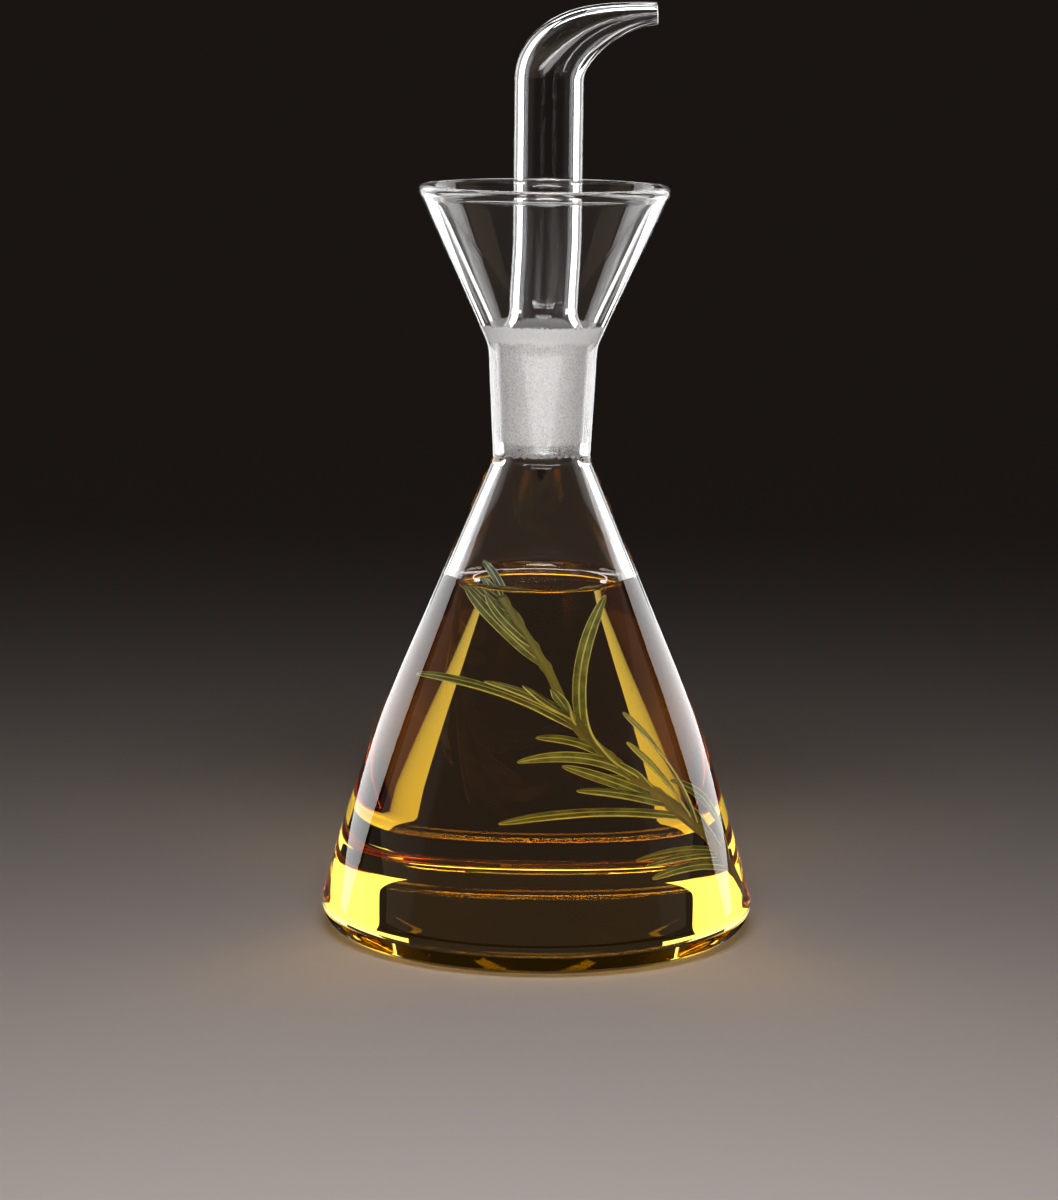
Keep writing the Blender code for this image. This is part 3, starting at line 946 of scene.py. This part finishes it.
# Painted highlight: a pale colour laid along the margin and midrib for the light that rims them from
# behind.
LEAF_FELT = (0.26, 0.29, 0.24, 1.0)
LEAF_FELT_PALE = (0.38, 0.41, 0.34, 1.0)
STEM_GREEN = (0.19, 0.20, 0.12, 1.0)
STEM_WOOD = (0.21, 0.15, 0.10, 1.0)
BLOTCH_SCALE = 420.0    # per metre
BLOTCH_DETAIL = 3.0
BLOTCHES = (0.35, 0.65)     # the noise values between which the blade changes colour
FLECK_SCALE = 5200.0
FLECK_DETAIL = 2.0
FLECKS = (0.35, 0.7)
FLECK_DEPTH = 0.00006   # metres
FLECK_STRENGTH = 0.6
TURN_OVER = (-0.3, 0.3)     # from the under side's colour to the upper side's
# Where across the blade the painted highlight of the midrib and margin lies, and how strong it is.
MIDRIB_HIGHLIGHT_FADE = (0.05, 0.17)  # across the blade, from its middle to its margin at 1
MIDRIB_HIGHLIGHT = 0.75
MARGIN_HIGHLIGHT_FADE = (0.80, 0.94)
WOODY_PART = (0.0, 0.55)    # along the stem
LEAF_FINISH = {"Roughness": 0.5, "Specular IOR Level": 0.35, "Subsurface Weight": 0.5,
               "Subsurface Radius": (1.0, 1.0, 0.4), "Subsurface Scale": 0.001}


def leaf_colour(start, blotch, fleck):
    """The colour of a blade, picked by how far across it a point is and on which side."""
    across = abs(start.kept("across"))
    blade = blotch.rise(*BLOTCHES).between(LEAF_DARK, LEAF_LIGHT)
    felt = fleck.rise(*FLECKS).between(LEAF_FELT, LEAF_FELT_PALE)
    blade = start.kept("upper").rise(*TURN_OVER).between(felt, blade)
    # The midrib and the margin are painted pale, a painted highlight in place of the rim light they
    # catch.
    midrib = (1 - across.rise(*MIDRIB_HIGHLIGHT_FADE)) * MIDRIB_HIGHLIGHT
    margin = across.rise(*MARGIN_HIGHLIGHT_FADE)
    return start.maths("MAXIMUM", midrib, margin).between(blade, LEAF_RIM_HIGHLIGHT)


def sprig_finish():
    made, start = new_material("rosemary_leaf")
    place = start.node("TexCoord", {}, {}, "Object")
    blotch = start.noise(place, BLOTCH_SCALE, BLOTCH_DETAIL)
    fleck = start.noise(place, FLECK_SCALE, FLECK_DETAIL)
    bark = start.kept("along").rise(*WOODY_PART).between(STEM_WOOD, STEM_GREEN)
    colour = start.kept("stem").between(leaf_colour(start, blotch, fleck), bark)
    bump = {"Height": fleck, "Distance": FLECK_DEPTH, "Strength": FLECK_STRENGTH}
    sockets = {"Base Color": colour, "Normal": start.node("Bump", {}, bump), **LEAF_FINISH}
    finish_material(start, start.node("BsdfPrincipled", {}, sockets))
    return made


def make_sprig():
    mesh = bmesh.new()
    layers = [mesh.verts.layers.float.new(name) for name in ("across", "upper", "along", "stem")]
    across_layer, upper_layer, along_layer, stem_layer = layers
    make_stem(mesh, along_layer, stem_layer)
    make_leaves(mesh, across_layer, upper_layer, along_layer)
    sprig = finish_piece("rosemary_sprig", mesh, [sprig_finish()])
    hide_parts("rosemary")


make_sprig()

# %% [markdown]
# ## The floor and the dark
# Glass shows best in a dark field: a dark room behind it, and soft light from the sides, which the
# rims and walls pick up as bright lines. So a plain pale floor runs back into the dark. What shines up
# through the oil isn't the floor but the sheet that the jug stands on, a dark mirror that hands on
# three tenths of the light. Only light that has been through the jug can see it, so the picture keeps
# its plain floor.

# %% Make the floor, the sheet and the room
FLOOR_RADIUS = 90000.0
FLOOR_DROP = 0.05
FLOOR_COLOUR = (0.62, 0.545, 0.52, 1.0)
SHEET_RADIUS = 260.0
SHEET_DROP = 0.025
SHEET_COLOUR = (0.31, 0.30, 0.29, 1.0)
SHEET_ROUGHNESS = 0.02
FLOOR_ROUGHNESS = 0.9
ROOM_COLOUR = (0.0157, 0.0129, 0.0106, 1.0)
DISC_SIDES = 96


def make_disc(name, radius, drop, material):
    """A flat disc a hair below the jug."""
    mesh = bmesh.new()
    bmesh.ops.create_circle(mesh, cap_ends=True, segments=DISC_SIDES, radius=radius * MM,
                            matrix=Matrix.Translation((0.0, 0.0, -drop * MM)))
    made = mesh_object(name, mesh, [material])
    return made


def make_sheet():
    mirror = plain_material("dark_mirror", SHEET_COLOUR, SHEET_ROUGHNESS, metallic=1.0)
    sheet = make_disc("dark_sheet", SHEET_RADIUS, SHEET_DROP, mirror)
    sheet.visible_camera = False
    sheet.visible_diffuse = False
    sheet.visible_glossy = False
    sheet.visible_shadow = False


def make_room():
    world = bpy.data.worlds.new("dark_room")
    world.use_nodes = True
    world.node_tree.nodes["Background"].inputs["Color"].default_value = ROOM_COLOUR
    bpy.context.scene.world = world


PALE = plain_material("pale_floor", FLOOR_COLOUR, FLOOR_ROUGHNESS)
FLOOR = make_disc("floor", FLOOR_RADIUS, FLOOR_DROP, PALE)
make_sheet()
make_room()

# %% [markdown]
# ## The lamps
# Tall soft panels stand behind the jug on both sides, just out of the picture. Each has a small one at
# its foot, nearer the middle, and a dim wing further round. A wide panel hangs behind the jug's top and
# a small lamp high over it. Their light reaches the eye only where glass or oil bends it forward, and
# that draws the white walls and the golden strips. Two lamps in front fill in the leaves and the ground
# joint but make no glints in the glass, and a dim screen round the front shows only as the veil that
# lies on the walls. Like a photographer's flags, light linking keeps all of these off the floor, which
# has lamps of its own, so that it fades evenly into the dark. One big lamp would be simpler, but it
# would light the floor and wash out the dark centre.

# %% A lamp and its flags
PANEL_DISTANCE = 430.0


def flagged(name, state):
    """A collection that tells a lamp whether to light the floor only, or all but the floor."""
    made = bpy.data.collections.new(name)
    made.objects.link(FLOOR)
    made.collection_objects[0].light_linking.link_state = state
    return made


FLOOR_ONLY = flagged("floor_only", "INCLUDE")
FLOOR_SPARED = flagged("floor_spared", "EXCLUDE")


def make_panel(name, place, size, aim, radiance, receivers=FLOOR_SPARED):
    """A soft panel: a flat lamp at a place, turned to face an aim. Sizes are in millimetres."""
    lamp = bpy.data.lights.new(name, "AREA")
    lamp.shape = "RECTANGLE"
    lamp.size = size[0] * MM
    lamp.size_y = size[1] * MM
    lamp.energy = radiance * math.pi * lamp.size * lamp.size_y
    made = bpy.data.objects.new(name, lamp)
    bpy.context.scene.collection.objects.link(made)
    made.location = Vector(place) * MM
    made.rotation_mode = "QUATERNION"
    made.rotation_quaternion = (Vector(aim) - Vector(place)).to_track_quat("-Z", "Y")
    made.visible_camera = False
    made.light_linking.receiver_collection = receivers
    print(name, "watts:", round(lamp.energy, 2))
    return made


def around(azimuth, height):
    """A place on the ring of panels, at an angle in degrees from straight behind the jug."""
    turn = math.radians(azimuth)
    return (PANEL_DISTANCE * math.sin(turn), PANEL_DISTANCE * math.cos(turn), height)


# %% The lamps, in millimetres
# The panels that stand in pairs: name, angle off the back, height, size and brightness.
PAIRS = (
    ("panel", 47.0, 300.0, (279, 600), 2.7),
    ("low_panel", 24.5, 33.0, (68, 66), 2.7),
    ("wing", 90.0, 120.0, (345, 200), 0.1),
)
# The single lamps: name, place, size, what it is aimed at and brightness.
TOP_LAMPS = (
    ("high_panel", around(0.0, 380.0), (270, 80), (0, 0, 40), 4.0),
    ("overhead_lamp", (0, 140, 700), (130, 230), (0, 0, 0), 6.0),
)
FILL_LAMPS = (
    ("low_fill_lamp", (0, -420, 25), (1000, 50), (0, 0, 60), 18.0),
    ("high_fill_lamp", (0, -420, 238), (420, 85), (0, 0, 60), 5.0),
)
FLOOR_LAMPS = (
    ("floor_lamp", (0, -372, 453), (259, 432), (0, -591, 0), 5.9),
    ("near_floor_lamp", (0, -1000, 150), (1600, 500), (0, -1000, 0), 1.2),
)


print("lamps:", 2 * len(PAIRS) + len(TOP_LAMPS) + len(FILL_LAMPS) + len(FLOOR_LAMPS))

# %% The dim screen
SCREEN_RADIUS = 1500.0
SCREEN_LOW = 8.0        # degrees above the floor
SCREEN_HIGH = 41.0
SCREEN_SPAN = 220.0     # degrees round the front
SCREEN_STEPS = 16
SCREEN_COLOUR = (0.38, 0.265, 0.19, 1.0)


def make_screen():
    """A dim screen round the front, a band of a sphere, which only reflections can see."""
    mesh = bmesh.new()
    points = []
    for step in range(SCREEN_STEPS + 1):
        rise = math.radians(SCREEN_LOW + (SCREEN_HIGH - SCREEN_LOW) * step / SCREEN_STEPS)
        out = Vector((0.0, -math.cos(rise), math.sin(rise))) * SCREEN_RADIUS * MM
        out.rotate(Matrix.Rotation(-math.radians(SCREEN_SPAN) / 2, 3, "Z"))
        points.append(mesh.verts.new(out))
    edges = [mesh.edges.new(pair) for pair in zip(points, points[1:])]
    bmesh.ops.spin(mesh, geom=points + edges, cent=(0, 0, 0), axis=(0, 0, 1),
                   angle=math.radians(SCREEN_SPAN), steps=DISC_SIDES)
    glow, start = new_material("dim_glow")
    finish_material(start, start.node("Emission", {}, {"Color": SCREEN_COLOUR}))
    screen = mesh_object("dim_screen", mesh, [glow])
    screen.visible_camera = False
    screen.visible_diffuse = False
    screen.visible_transmission = False
    screen.visible_shadow = False
    screen.light_linking.receiver_collection = FLOOR_SPARED


make_screen()

# %% Make the lamps
BOUNCES = 64            # a ray crosses many walls before it leaves the jug
MIRROR_BOUNCES = 32


def make_lamps():
    for side, sign in (("left", -1), ("right", 1)):
        for name, azimuth, height, size, radiance in PAIRS:
            place = around(sign * azimuth, height)
            make_panel(side + "_" + name, place, size, (0, 0, height), radiance)
    for lamp in TOP_LAMPS:
        make_panel(*lamp)
    for lamp in FILL_LAMPS:
        make_panel(*lamp).visible_glossy = False
    for lamp in FLOOR_LAMPS:
        make_panel(*lamp, FLOOR_ONLY)


make_lamps()
bpy.context.scene.view_settings.view_transform = "Standard"
bpy.context.scene.cycles.max_bounces = BOUNCES
bpy.context.scene.cycles.transmission_bounces = BOUNCES
bpy.context.scene.cycles.glossy_bounces = MIRROR_BOUNCES

# %% [markdown]
# ## Done
